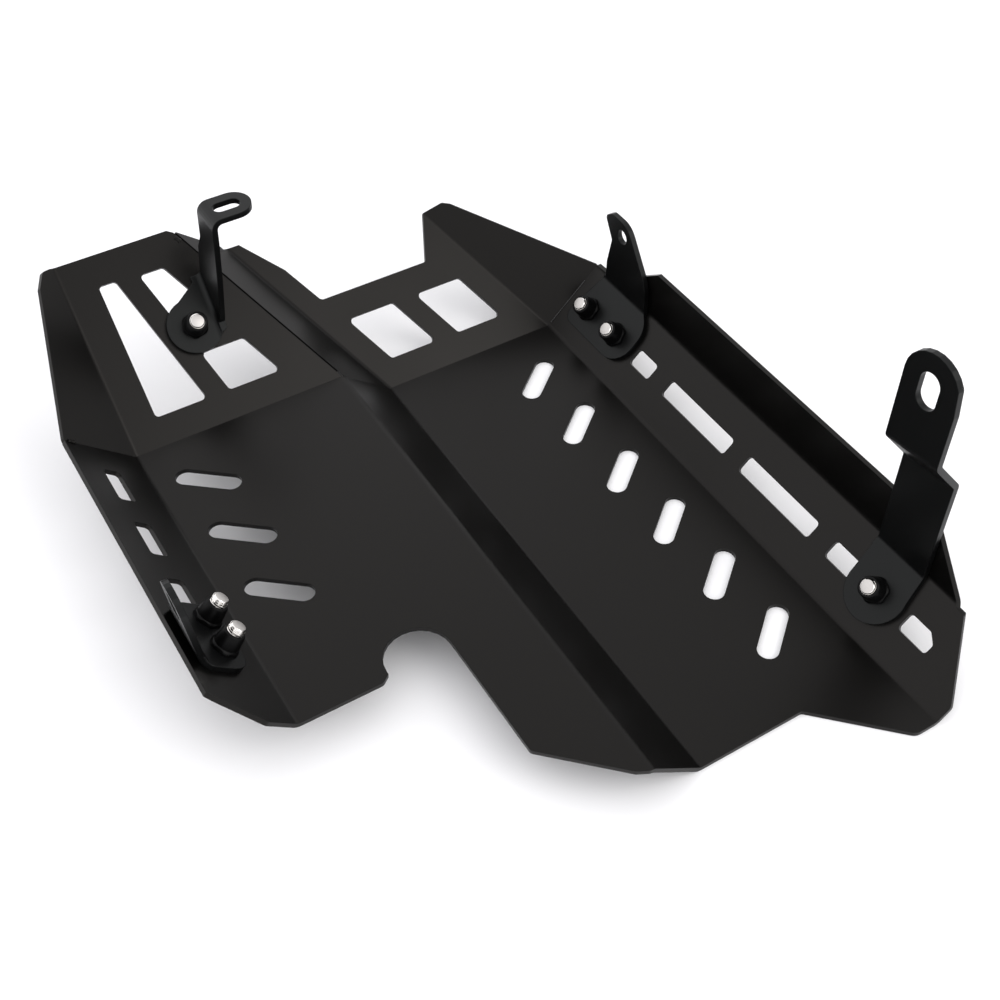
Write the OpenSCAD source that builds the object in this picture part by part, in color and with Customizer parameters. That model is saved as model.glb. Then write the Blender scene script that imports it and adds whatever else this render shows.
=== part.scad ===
// Motorcycle skid plate: one folded and welded sheet tray with four bolted frame brackets.
// Millimetres. X runs to the right, Y to the front, Z up. The tray stands on its low floor panel.
// Origin: the middle of the floor panel's underside, between its two folds and its two ends.

/* [Sheet] */
// thickness of the tray sheet
sheet_t = 2.5; // [2:0.5:3]
// inside radius of the folds
bend_r = 4; // [3:0.5:5]
// width of the open slit between the two front panels
slit_w = 0.9; // [0.6:0.1:1.5]

/* [Tray section] */
// width of the raised left deck
deck_w = 118.5; // [112:0.5:124]
// width of the sloping step between deck and floor
step_run = 27.4; // [24:0.2:31]
// height of the deck above the floor panel
step_drop = 22.2; // [18:0.2:26]
// width of the low floor panel on the right
floor_w = 105.7; // [98:0.5:112]
// slope of the left wing
left_wing_angle = 41.8; // [38:0.2:46]
// sloping width of the left wing
left_wing_w = 42.4; // [40:0.2:46]
// slope of the right wing
right_wing_angle = 43.2; // [40:0.2:46]
// sloping width of the right wing
right_wing_w = 45; // [43:0.2:47]
// height of the upright flange on the right wing
flange_h = 29.4; // [24:0.2:34]

/* [Rear outline] */
// length of the deck behind the front fold, left of the notch
deck_len = 190; // [184:1:196]
// length behind the front fold at the step
step_len = 288.5; // [282:0.5:295]
// length behind the front fold at the tail on the right
tail_len = 325; // [319:1:331]
// radius of the round notch in the rear edge
notch_r = 16.4; // [14:0.1:17]
// distance of the notch's straight side from the step
notch_side = 39.8; // [38:0.2:44]
// depth of the notch in front of the deck's rear edge
notch_depth = 20.7; // [19:0.1:23]
// width of the floor panel at its tail
tail_w = 48.1; // [43:0.1:53]

/* [Front panels] */
// slope of both front panels
front_tilt = 40; // [36:0.5:43]
// turn of the slit and of the right panel's folds against the centre line
front_skew = 27.5; // [25:0.5:30]
// length of the left front panel up its slope
left_front_len = 105; // [100:1:112]
// length of the right front panel up its slope
right_front_len = 59.8; // [56:0.5:64]
// length of the narrow tongue beside the slit, up the slope
tongue_len = 103.6; // [98:0.2:108]

/* [Slots and windows] */
// pitch of the slanted slots in deck and floor
slot_pitch = 41.9; // [40:0.1:43]
// distance between the end centres of a slanted slot
slot_reach = 23.6; // [20:0.2:26]
// width of a slanted slot
slot_w = 10.7; // [8:0.1:12]
// turn of the slanted slots against the front fold
slot_turn = 39.5; // [36:0.5:42]
// distance of the slots' centres from the left fold of the deck
deck_slot_inset = 25.2; // [23:0.2:28]
// distance of the slots' centres from the right fold of the floor
floor_slot_inset = 30.3; // [28:0.2:33]
// width of the windows in the right wing
wing_window_w = 9.8; // [8:0.2:11]
// length of a short window in the right wing
short_window = 17.6; // [14:0.2:19]
// gap between the windows in the right wing
window_gap = 12.6; // [11:0.2:15]
// width of the windows in the left wing
left_window_w = 9.6; // [7:0.2:11]
// length of the windows in the left wing
left_window_len = 23.4; // [18:0.2:26]
// width of the frame left round the windows of the front panels
front_margin = 15.2; // [13:0.2:17]

/* [Brackets] */
// thickness of the bracket plates
bracket_t = 3; // [3:0.5:4]
// inside bend radius of the brackets
bracket_bend_r = 3; // [2:0.5:4]
// gap between an upright bracket arm and the flange behind it
arm_gap = 0.4; // [0.3:0.1:0.6]
// width of the rear right bracket
rear_arm_w = 30.6; // [28:0.2:33]
// height of the rear right bracket above the ground
rear_arm_top = 166; // [160:1:174]
// inward offset of its upper part
rear_arm_jog = 16.4; // [12:0.2:20]
// height of the rear left bracket above the ground
left_arm_top = 90.8; // [87:0.1:99]
// height of the shark fin bracket above the ground
fin_top = 79.6; // [76:0.2:86]
// height of the front left bracket's tab above the ground
tab_top = 125; // [118:1:132]
// width of that tab
tab_w = 19.3; // [17:0.1:21]
// distance between the end centres of the rear right bracket's slot
rear_slot_reach = 7.9; // [5:0.1:10]
// width of the rear right bracket's slot
rear_slot_w = 11.2; // [8.4:0.2:12]
// distance between the end centres of the tab's slot
tab_slot_reach = 6.7; // [4:0.1:8]
// width of the slot in the tab
tab_slot_w = 7.8; // [6.4:0.2:9]
// hole in the shark fin bracket
fin_hole_d = 8.5; // [6.5:0.5:9]
// width of the slot in the rear left bracket
left_slot_w = 8.5; // [6.5:0.5:9]
// distance between the end centres of the rear left bracket's slot
left_slot_reach = 7.2; // [4:0.1:8]
// distance between the two bolts of the shark fin bracket
fin_bolt_pitch = 26.2; // [24:0.2:28]
// distance between the two bolts of the rear left bracket
left_bolt_pitch = 18.6; // [17.4:0.2:21]

/* [Fasteners] */
// thread diameter of the bolts
bolt_d = 8; // [6:1:8]
// play round a bolt in a drilled hole
hole_play = 0.5; // [0.4:0.1:0.8]
// across flats size of the lock nuts' hexagon
nut_af = 13; // [12:0.5:14]
// height of the low hexagon under a nut's round body
nut_hex_h = 2.6; // [2:0.1:3.4]
// whole height of a lock nut
nut_h = 9.6; // [8.4:0.1:10.4]
// length of bolt end standing out of its nut
bolt_proud = 1.1; // [0.9:0.1:3]

/* [Hidden] */
fine = 48;
arc_steps = 6;
// overlap that fuses panels of the one sheet, and the reach of cutters past a face
fuse = 0.8;
past = 1;

// The modules below count X from the fold between deck and step, and Y from the front fold.
// places of the folds on the upper face of the sheet
deck_z = sheet_t + step_drop;
floor_x0 = step_run;
floor_x1 = step_run + floor_w;
left_rim = [-deck_w - left_wing_w * cos(left_wing_angle), deck_z + left_wing_w * sin(left_wing_angle)];
right_rim = [floor_x1 + right_wing_w * cos(right_wing_angle), sheet_t + right_wing_w * sin(right_wing_angle)];
flange_top = right_rim[1] + flange_h;
origin = [floor_x0 + floor_w / 2, -tail_len / 2, 0];

// fastener centres: across the slope of the panel, then along it
wing_line = 23.6;
window_line = 22.6;
fin_bolts = [-18.6, -18.6 - fin_bolt_pitch];
rear_right_bolt = -tail_len + 63.2;
left_bolt_line = 21;
left_bolts = [-deck_len + 61, -deck_len + 61 - left_bolt_pitch];
left_bolt_proud = bolt_proud + 2.4;
front_left_bolt = [-64, 52.5];

// windows of the right wing fill the length between the two brackets
first_window = 62;
last_window_end = -rear_right_bolt - 16;
long_window = (last_window_end - first_window - 2 * short_window - 3 * window_gap) / 2;

// sheet and hardware details
window_r = 2.2;
hole_d = bolt_d + hole_play;
washer_od = 16;
washer_t = 1.6;
head_d = 1.75 * bolt_d;
head_h = 0.55 * bolt_d;
thread_play = 0.1;

function unit(v) = v / norm(v);
function left(v) = [-v[1], v[0]];
function heading(v) = atan2(v[1], v[0]);
function turn(a, b) = (b - a + 540) % 360 - 180;
function reverse(p) = [for (i = [len(p) - 1:-1:0]) p[i]];

// one corner of an outline, rounded with radius r
function corner(a, b, c, r) =
    r == 0 ? [b] :
    let (u = unit(a - b), v = unit(c - b), half = acos(u * v) / 2,
         centre = b + unit(u + v) * r / sin(half),
         from = heading(b + u * r / tan(half) - centre),
         sweep = turn(from, heading(b + v * r / tan(half) - centre)))
    [for (k = [0:arc_steps]) centre + r * [cos(from + sweep * k / arc_steps), sin(from + sweep * k / arc_steps)]];

// closed outline from [x, y, radius] corners
function outline(p) =
    [for (i = [0:len(p) - 1])
        let (a = p[(i + len(p) - 1) % len(p)], b = p[i], c = p[(i + 1) % len(p)])
        each corner([a[0], a[1]], [b[0], b[1]], [c[0], c[1]], b[2])];

// line at offset o to the left of a folded base line; the sheet lies between lo and hi
function folded_line(p, o, lo, hi, r) =
    [for (i = [0:len(p) - 1])
        let (u = unit(i > 0 ? p[i] - p[i - 1] : p[1] - p[0]),
             w = unit(i < len(p) - 1 ? p[i + 1] - p[i] : u),
             bend = turn(heading(u), heading(w)), side = sign(bend),
             base_r = side > 0 ? r + hi : r - lo,
             centre = p[i] - u * base_r * tan(abs(bend) / 2) + side * base_r * left(u))
        each (abs(bend) < 0.01 ? [p[i] + o * left(u)] :
            [for (k = [0:arc_steps])
                let (a = heading(u) + bend * k / arc_steps) centre + (o - side * base_r) * [-sin(a), cos(a)]])];

function folded_section(p, lo, hi, r) =
    concat(folded_line(p, hi, lo, hi, r), reverse(folded_line(p, lo, lo, hi, r)));

module outline_shape(p) { polygon(outline(p)); }

module obround(reach, w) {
    square([reach, w], center = true);
    for (side = [-1, 1]) translate([side * reach / 2, 0]) circle(d = w, $fn = fine);
}

module from_origin() { translate(-origin) children(); }

// extrudes a section drawn in X and Z along Y, from y1 back by the given length
module along_y(y1, length) { translate([0, y1, 0]) rotate([90, 0, 0]) linear_extrude(length) children(); }

// extrudes an outline drawn in Y and Z along X
module along_x(x1, length) { translate([x1, 0, 0]) rotate([90, 0, 90]) linear_extrude(length) children(); }

// frames on the upper face of each panel: x across, y along, z away from the face
module on_deck() { translate([0, 0, deck_z]) children(); }
module on_floor() { translate([0, 0, sheet_t]) children(); }
module on_right_wing() { translate([floor_x1, 0, sheet_t]) rotate([0, -right_wing_angle, 0]) children(); }
module on_left_wing() { translate([-deck_w, 0, deck_z]) rotate([0, left_wing_angle, 0]) children(); }
module on_left_front() { translate([0, 0, deck_z]) rotate([front_tilt, 0, 0]) children(); }
module on_right_front() { translate([floor_x0, 0, sheet_t]) rotate([front_tilt, 0, 0]) children(); }

// a cutter through the sheet, drawn on a panel's face
module through() { translate([0, 0, -sheet_t - past]) linear_extrude(sheet_t + 2 * past) children(); }

// Tray behind the front fold
module tray_section() {
    base = [left_rim, [-deck_w, deck_z], [0, deck_z], [floor_x0, sheet_t], [floor_x1, sheet_t],
            right_rim, [right_rim[0], flange_top]];
    polygon(folded_section(base, -sheet_t, 0, bend_r));
}

module slanted_slots(x, y, count, turned) {
    for (i = [0:count - 1])
        translate([x, y - i * slot_pitch]) rotate(turned) obround(slot_reach, slot_w);
}

// the rear edge stands at three lengths, joined by slanting cuts
tail_slant = tail_len - step_len;
tail_corner = floor_x1 - tail_w;
notch_left = -notch_side - 2 * notch_r;
notch_top = -deck_len + notch_depth;
behind = 40;
beside = 20;
module rear_cut() {
    outline_shape([
        [left_rim[0] - beside, -deck_len, 0],
        [notch_left - 4, -deck_len, 4],
        [notch_left, -deck_len + 3, 0],
        [notch_left, notch_top, notch_r - 0.1],
        [-notch_side, notch_top, notch_r - 0.1],
        [-notch_side, -step_len + 34.8, 3],
        [-notch_side + 32.6, -step_len + 2.8, 3],
        [-notch_side + 38, -step_len, 3],
        [tail_corner, -step_len, 3],
        [tail_corner + tail_slant, -tail_len, 6],
        [floor_x1 + 0.5, -tail_len, 0],
        [floor_x1 + 0.5, -tail_len - behind, 0],
        [left_rim[0] - beside, -tail_len - behind, 0]]);
}

// one row of windows: short, long, long, short
module right_wing_windows() {
    x0 = window_line - wing_window_w / 2;
    x1 = x0 + wing_window_w;
    lengths = [short_window, long_window, long_window, short_window];
    starts = [0, short_window + window_gap, short_window + long_window + 2 * window_gap,
              short_window + 2 * long_window + 3 * window_gap];
    for (i = [0:3]) {
        y0 = -first_window - starts[i];
        y1 = y0 - lengths[i];
        outline_shape([[x0, y0, window_r], [x1, y0, window_r], [x1, y1, window_r], [x0, y1, window_r]]);
    }
    // the last window, behind the rear bracket, follows the cut corner of the wing
    y0 = rear_right_bolt - 19.1;
    y1 = y0 - 18.2;
    outline_shape([[x0, y0, window_r], [x1, y0, window_r], [x1, y1 + 5, 1.5], [x1 - 4, y1, 1.5], [x0, y1, window_r]]);
}

left_window_pitch = 40.6;
module left_wing_windows() {
    x0 = -left_bolt_line - 7;
    x1 = x0 + left_window_w;
    for (i = [0:2]) {
        y0 = -18.2 - i * left_window_pitch;
        // the third one ends before the bracket's first bolt
        y1 = max(y0 - left_window_len, left_bolts[0] + hole_d / 2 + 4.2);
        outline_shape([[x0, y0, 2], [x1, y0, 2], [x1, y1, 2], [x0, y1, 2]]);
    }
}

// cut corners of the two wings at the rear, drawn on the wing
module right_wing_corner() {
    outline_shape([[9.2, -tail_len, 5], [right_wing_w + 8, -tail_len + 32.6, 0],
                   [right_wing_w + 8, -tail_len - 9, 0], [-4, -tail_len - 9, 0], [-4, -tail_len, 0]]);
}

module left_wing_corner() {
    outline_shape([[3, -deck_len, 0], [-17, -deck_len, 3], [-39, -deck_len + 13, 3],
                   [-left_wing_w - 6, -deck_len + 20, 0], [-left_wing_w - 6, -tail_len - 9, 0],
                   [3, -tail_len - 9, 0]]);
}

// slanting ends of the upright flange, drawn from the side
flange_front = [16, 55.5];
flange_rear = [30, 53];
module flange_ends() {
    rim_z = right_rim[1];
    polygon([[past, rim_z], [-flange_front[0], rim_z + 1], [-flange_front[1], flange_top + 0.01],
             [-flange_front[1], flange_top + past], [past, flange_top + past]]);
    polygon([[-tail_len - past, rim_z - 2], [-tail_len + flange_rear[0], rim_z - 2],
             [-tail_len + flange_rear[1], flange_top + 0.01], [-tail_len + flange_rear[1], flange_top + past],
             [-tail_len - past, flange_top + past]]);
}

module rear_tray() {
    difference() {
        along_y(0, tail_len) tray_section();
        translate([0, 0, -past]) linear_extrude(deck_z + 2 * past) rear_cut();
        on_deck() through() slanted_slots(-deck_w + deck_slot_inset, -33.7, 3, -slot_turn);
        on_floor() through() slanted_slots(floor_w - floor_slot_inset + floor_x0, -36.3, 6, slot_turn);
        on_right_wing() through() {
            right_wing_windows();
            for (y = concat(fin_bolts, rear_right_bolt)) translate([wing_line, y]) circle(d = hole_d, $fn = fine);
            right_wing_corner();
        }
        on_left_wing() through() {
            left_wing_windows();
            for (y = left_bolts) translate([-left_bolt_line, y]) circle(d = hole_d, $fn = fine);
            left_wing_corner();
        }
        along_x(right_rim[0] - past, sheet_t + 2 * past) flange_ends();
    }
}

// The left front panel carries a gusset that closes the tray to the left wing.
// The gusset's slope follows from the wing and the front slope, so that both meet at the front fold.
left_gusset_angle = atan2(cos(front_tilt) * sin(left_wing_angle), cos(left_wing_angle));
left_gusset_rise = left_wing_w * sin(left_wing_angle) * sin(front_tilt);
left_gusset_w = norm([left_wing_w * cos(left_wing_angle), left_wing_w * sin(left_wing_angle) * cos(front_tilt)]);

module on_left_gusset() { on_left_front() translate([-deck_w, 0, 0]) rotate([0, left_gusset_angle, 0]) children(); }

// distance across from the front fold's corner to the slit, at length l up the slope
function slit_x(l) = -l * tan(front_skew);

// three windows with round corners, their right sides parallel to the slit
module left_front_windows() {
    low = front_margin;
    high = left_front_len - 16.4;
    left_side = -deck_w + 17.1;
    slit_frame = 22;
    outline_shape([[left_side, low, 2.2], [left_side + 28.8, low, 2.5],
                   [left_side + 9.2, high, 2.2], [left_side, high, 2.2]]);
    outline_shape([[left_side + 21.6, high - 1.2, 2.2], [slit_x(high - 1.2) - slit_frame + 1.1, high - 1.2, 2.2],
                   [slit_x(62.5) - slit_frame + 1.1, 62.5, 2.5], [left_side + 28.4, 62.5, 2.5]]);
    outline_shape([[left_side + 35, 38.5, 2.5], [slit_x(38.5) - slit_frame, 38.5, 2.5],
                   [slit_x(low) - slit_frame, low, 2.5], [left_side + 41.3, low, 2.5]]);
}

module left_front() {
    corner_x = slit_x(left_front_len);
    rim = -deck_w - left_gusset_w * cos(left_gusset_angle);
    beyond = left_front_len + 9;
    difference() {
        on_left_front() translate([0, left_front_len, 0]) rotate([90, 0, 0])
            linear_extrude(left_front_len + 3 * fuse)
                polygon(folded_section([[rim, left_gusset_w * sin(left_gusset_angle)], [-deck_w, 0], [fuse, 0]],
                                       -sheet_t, 0, bend_r));
        // the panel ends at the front fold, a little inside the tray
        translate([left_rim[0] - beside, -behind - fuse, -past]) cube([deck_w + 4 * beside, behind, 120]);
        on_left_front() through() {
            left_front_windows();
            translate(front_left_bolt) circle(d = hole_d, $fn = fine);
            // slanting right side along the slit, with its front corner cut back
            polygon([[-slit_w / 2, -4], [-slit_w / 2, 0], [corner_x - slit_w / 2, left_front_len],
                     [corner_x - slit_w / 2, beyond], [beside, beyond], [beside, -4]]);
            polygon([[corner_x - 4, left_front_len + past], [corner_x + 2.6, left_front_len - 3.4],
                     [corner_x + 9, left_front_len + past]]);
        }
        on_left_gusset() through()
            outline_shape([[-left_gusset_w, left_gusset_rise + 1, 0], [-13.4, 95.4, 3], [-7.4, left_front_len - 1, 3],
                           [0, left_front_len + 0.5, 0], [0, beyond, 0],
                           [-left_gusset_w - 9, beyond, 0], [-left_gusset_w - 9, left_gusset_rise + 1, 0]]);
    }
}

// The right front panel has the rising step strip on its left and a gusset on its right.
// Both folds run along the skewed direction, so one section makes strip, panel and gusset.
skew_dir = [-sin(front_skew), cos(front_skew) * cos(front_tilt), cos(front_skew) * sin(front_tilt)];
right_normal = [0, -sin(front_tilt), cos(front_tilt)];
across_dir = cross(skew_dir, right_normal);
step_edge = [-step_run, 0, step_drop];
wing_edge = [right_wing_w * cos(right_wing_angle), 0, right_wing_w * sin(right_wing_angle)];
strip_rim = [step_edge * across_dir, step_edge * right_normal];
gusset_rim = [wing_edge * across_dir, wing_edge * right_normal];
gusset_w = norm(gusset_rim);
gusset_angle = heading(gusset_rim);
gusset_rise = wing_edge * skew_dir;
panel_across = floor_w * cos(front_skew);
right_gusset_len = 97.4;

module on_skewed() { on_right_front() rotate([0, 0, front_skew]) children(); }
module on_right_gusset() {
    on_right_front() translate([floor_w, 0, 0]) rotate([0, 0, front_skew]) rotate([0, -gusset_angle, 0]) children();
}

module right_front_windows() {
    low = front_margin + 0.3;
    high = right_front_len - front_margin - 0.1;
    lean = (high - low) * tan(front_skew);
    for (x = [8.2, 51.4])
        outline_shape([[x, low, 2.5], [x + 29.2, low, 2.5], [x + 29.2 - lean, high, 2.5], [x - lean, high, 2.5]]);
}

// front edge of the right panel between the tongue and the gusset
module right_front_edge() {
    beyond = tongue_len + 30;
    outline_shape([[-47, beyond, 0], [-47, tongue_len, 2], [-28.5, tongue_len - 21.4, 0],
                   [-16.2, right_front_len, 3], [floor_w - 55.5, right_front_len, 2],
                   [floor_w - 44.8, right_front_len + 27.2, 0], [floor_w - 44.8, beyond, 0]]);
}

module right_front() {
    along = tongue_len / cos(front_skew);
    difference() {
        on_skewed() translate([0, along + beside, 0]) rotate([90, 0, 0]) linear_extrude(along + 4 * beside)
            polygon(folded_section([strip_rim * 1.05, [0, 0], [panel_across, 0],
                                    [panel_across + gusset_rim[0], gusset_rim[1]]], -sheet_t, 0, bend_r));
        // the panel ends at the front fold, a little inside the tray
        translate([-80, -90 - fuse, -60]) cube([400, 90, 240]);
        // the strip stops at the slit
        on_left_front() rotate([0, 0, front_skew]) translate([slit_w / 2 - 60, -past, -60]) cube([60, 200, 80]);
        on_right_front() {
            through() right_front_windows();
            through() right_front_edge();
            translate([-2 * floor_w, tongue_len, -60]) cube([4 * floor_w, 90, 220]);
        }
        on_right_gusset() through()
            outline_shape([[gusset_w, gusset_rise + 1, 0], [14.2, right_gusset_len - 8, 2],
                           [11.4, right_gusset_len - 4, 2], [0, right_gusset_len, 0],
                           [-9, right_gusset_len + 0.6, 0], [-9, 1.5 * right_gusset_len, 0],
                           [gusset_w + 9, 1.5 * right_gusset_len, 0], [gusset_w + 9, gusset_rise + 1, 0]]);
    }
}

module skid_plate() {
    color([0.1, 0.1, 0.1]) from_origin() union() {
        rear_tray();
        left_front();
        right_front();
    }
}

// Upright plates stand just inside the right flange
arm_face = right_rim[0] - arm_gap;
right_bend_s = (arm_face - floor_x1) / cos(right_wing_angle);
right_bend = [arm_face, sheet_t + right_bend_s * sin(right_wing_angle)];
foot_start = [floor_x1 + 4 * cos(right_wing_angle), sheet_t + 4 * sin(right_wing_angle)];

// The rear right arm steps inward; the two bends of the step rise towards the rear.
rear_slant = 6.9;
rear_upper_h = 72.5;
rear_bend_z = rear_arm_top - rear_upper_h;
rear_arm_mid = rear_right_bolt + 2.6;

module bracket_rear_right() {
    y0 = rear_arm_mid - rear_arm_w / 2;
    y1 = rear_arm_mid + rear_arm_w / 2;
    foot_r = 16.2;
    reach = rear_arm_w / 2 + 6;
    low_top = rear_bend_z - 20;
    color([0.12, 0.12, 0.12]) from_origin() difference() {
        union() {
            // foot on the wing, turned up into the lower arm
            intersection() {
                along_y(rear_arm_mid + reach, 2 * reach)
                    polygon(folded_section([foot_start, right_bend, [arm_face, low_top]],
                                           0, bracket_t, bracket_bend_r));
                union() {
                    on_right_wing() translate([0, 0, -past]) linear_extrude(bracket_t + 2 * past) {
                        translate([wing_line, rear_right_bolt]) circle(r = foot_r, $fn = 2 * fine);
                        polygon([[wing_line, rear_right_bolt - foot_r], [wing_line, rear_right_bolt + foot_r],
                                 [right_bend_s, y1], [right_bend_s + 9, y1],
                                 [right_bend_s + 9, y0], [right_bend_s, y0]]);
                    }
                    translate([arm_face - 10, y0, right_bend[1] - 2]) cube([20, y1 - y0, 90]);
                }
            }
            // stepped upper arm with its round end
            intersection() {
                translate([0, rear_arm_mid, rear_bend_z]) rotate([-rear_slant, 0, 0]) along_y(reach, 2 * reach)
                    polygon(folded_section([[arm_face, -30], [arm_face, 0],
                                            [arm_face - rear_arm_jog, 1.2 * rear_arm_jog],
                                            [arm_face - rear_arm_jog, 90]], 0, bracket_t, bracket_bend_r));
                along_x(arm_face - 40, 60)
                    outline_shape([[y0, low_top - 2, 0], [y1, low_top - 2, 0],
                                   [y1, rear_arm_top, rear_arm_w / 2 - 0.1],
                                   [y0, rear_arm_top, rear_arm_w / 2 - 0.1]]);
            }
        }
        on_right_wing() translate([wing_line, rear_right_bolt, -past])
            cylinder(d = hole_d, h = bracket_t + 2 * past, $fn = fine);
        along_x(arm_face - 40, 60) translate([rear_arm_mid + 0.6, rear_arm_top - 19]) rotate(90)
            obround(rear_slot_reach, rear_slot_w);
    }
}

fin_foot_front = 12.6;
fin_foot_rear = 14.7;

module bracket_front_right() {
    low = right_bend[1] - 3;
    mid = (fin_bolts[0] + fin_bolts[1]) / 2;
    front = fin_bolts[0] + fin_foot_front;
    rear = fin_bolts[1] - fin_foot_rear;
    color([0.12, 0.12, 0.12]) from_origin() difference() {
        intersection() {
            along_y(0, 70)
                polygon(folded_section([foot_start, right_bend, [arm_face, fin_top + past]],
                                       0, bracket_t, bracket_bend_r));
            union() {
                on_right_wing() translate([0, 0, -past]) linear_extrude(bracket_t + 2 * past)
                    outline_shape([[10.4, front, 6], [10.4, rear, 13], [36, rear, 15], [49, mid - 12, 0], [49, mid + 19, 0]]);
                // fin with a straight front side and a bowed rear side
                along_x(arm_face - 10, 20)
                    outline_shape([[mid + 18.7, low, 0], [mid + 18.5, fin_top - 33, 10],
                                   [mid + 15.2, fin_top - 16.5, 3], [mid + 22.5, fin_top - 4, 3],
                                   [mid + 16.7, fin_top, 4], [mid + 2, fin_top, 12],
                                   [mid - 17.6, fin_top - 27.5, 20], [mid - 19.4, low, 0]]);
            }
        }
        for (y = fin_bolts) on_right_wing() translate([wing_line, y, -past])
            cylinder(d = hole_d, h = bracket_t + 2 * past, $fn = fine);
        along_x(arm_face - 10, 20) translate([mid + 6.2, fin_top - 9.2]) circle(d = fin_hole_d, $fn = fine);
    }
}

// The rear left bracket leans out over the rim of the left wing
left_lean = 5.2;
left_bend_s = left_wing_w - 5.7;
left_bend = [-deck_w - left_bend_s * cos(left_wing_angle), deck_z + left_bend_s * sin(left_wing_angle)];
left_arm_w = 22;
left_foot_front = 9.5;
left_foot_rear = 13.4;

module bracket_rear_left() {
    y0 = left_bolts[1] - left_foot_rear;
    y1 = left_bolts[0] + left_foot_front;
    arm_y0 = y0 + 4;
    arm_y1 = arm_y0 + left_arm_w;
    rise = left_arm_top + past - left_bend[1];
    start = [-deck_w - 6 * cos(left_wing_angle), deck_z + 6 * sin(left_wing_angle)];
    round_r = left_arm_w / 2 - 0.1;
    color([0.12, 0.12, 0.12]) from_origin() difference() {
        intersection() {
            along_y(y1 + past, y1 - y0 + 2 * past)
                polygon(folded_section([start, left_bend, left_bend + [-rise * tan(left_lean), rise]],
                                       -bracket_t, 0, bracket_bend_r));
            union() {
                on_left_wing() translate([0, 0, -past]) linear_extrude(bracket_t + 2 * past)
                    outline_shape([[-12, y0, 9], [-12, y1, 9], [-31, y1, 9], [-50, y1 - 9, 0], [-50, arm_y0, 0],
                                   [-left_bend_s, arm_y0, 3], [-34, y0, 4]]);
                along_x(left_bend[0] - 25, 45)
                    outline_shape([[arm_y0, left_bend[1] - 2, 0], [y1 - 6, left_bend[1] - 2, 0],
                                   [y1 - 6, left_bend[1] + 4, 3], [arm_y1, left_bend[1] + 14, 8],
                                   [arm_y1, left_arm_top, round_r], [arm_y0, left_arm_top, round_r]]);
            }
        }
        for (y = left_bolts) on_left_wing() translate([-left_bolt_line, y, -past])
            cylinder(d = hole_d, h = bracket_t + 2 * past, $fn = fine);
        along_x(left_bend[0] - 25, 45) translate([(arm_y0 + arm_y1) / 2, left_arm_top - 12.3]) rotate(90)
            obround(left_slot_reach, left_slot_w);
    }
}

// The front left bracket: round foot, slightly leaning arm, level tab with a slot.
// The arm's plane crosses the sloping panel on a line that turns a little away from the slope.
front_arm_lean = 3;
front_arm_root = front_left_bolt[0] + 16.1;
front_bolt_y = front_left_bolt[1] * cos(front_tilt);
tab_mid = front_bolt_y - 0.4;
tab_end = front_arm_root + 25;
tab_slot_x = front_arm_root + 12.2;
front_bend_turn = atan(tan(front_arm_lean) * sin(front_tilt));
front_section_lean = asin(sin(front_arm_lean) * cos(front_tilt));
front_bend_x = front_arm_root - tan(front_arm_lean) * (tab_top - deck_z)
    + bracket_t / cos(front_section_lean) / cos(front_bend_turn);

// foot turned up into the arm, in the frame of the left front panel
module front_left_foot() {
    translate([front_bend_x, 0, 0]) rotate([0, 0, -front_bend_turn])
        along_y(left_front_len, left_front_len)
            polygon(folded_section([[-40, 0], [0, 0], [24 * tan(front_section_lean), 24]],
                                   0, bracket_t, bracket_bend_r));
}

// sides of the arm
module front_left_arm_sides() {
    tab_y0 = tab_mid - tab_w / 2;
    tab_y1 = tab_mid + tab_w / 2;
    foot_y0 = front_bolt_y - 4.3;
    foot_y1 = front_bolt_y + 17.6;
    panel_rise = tan(front_tilt);
    along_x(front_arm_root - 8, 16)
        outline_shape([[foot_y0, deck_z + foot_y0 * panel_rise, 0], [foot_y1, deck_z + foot_y1 * panel_rise, 0],
                       [foot_y1 - 3.4, tab_top - 29, 6], [tab_y1, tab_top - 20, 6], [tab_y1, tab_top + 5, 0],
                       [tab_y0, tab_top + 5, 0], [tab_y0, tab_top - 14, 0], [tab_y0 + 1.8, tab_top - 40, 20],
                       [foot_y0 - 2.3, tab_top - 53, 8]]);
}

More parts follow.
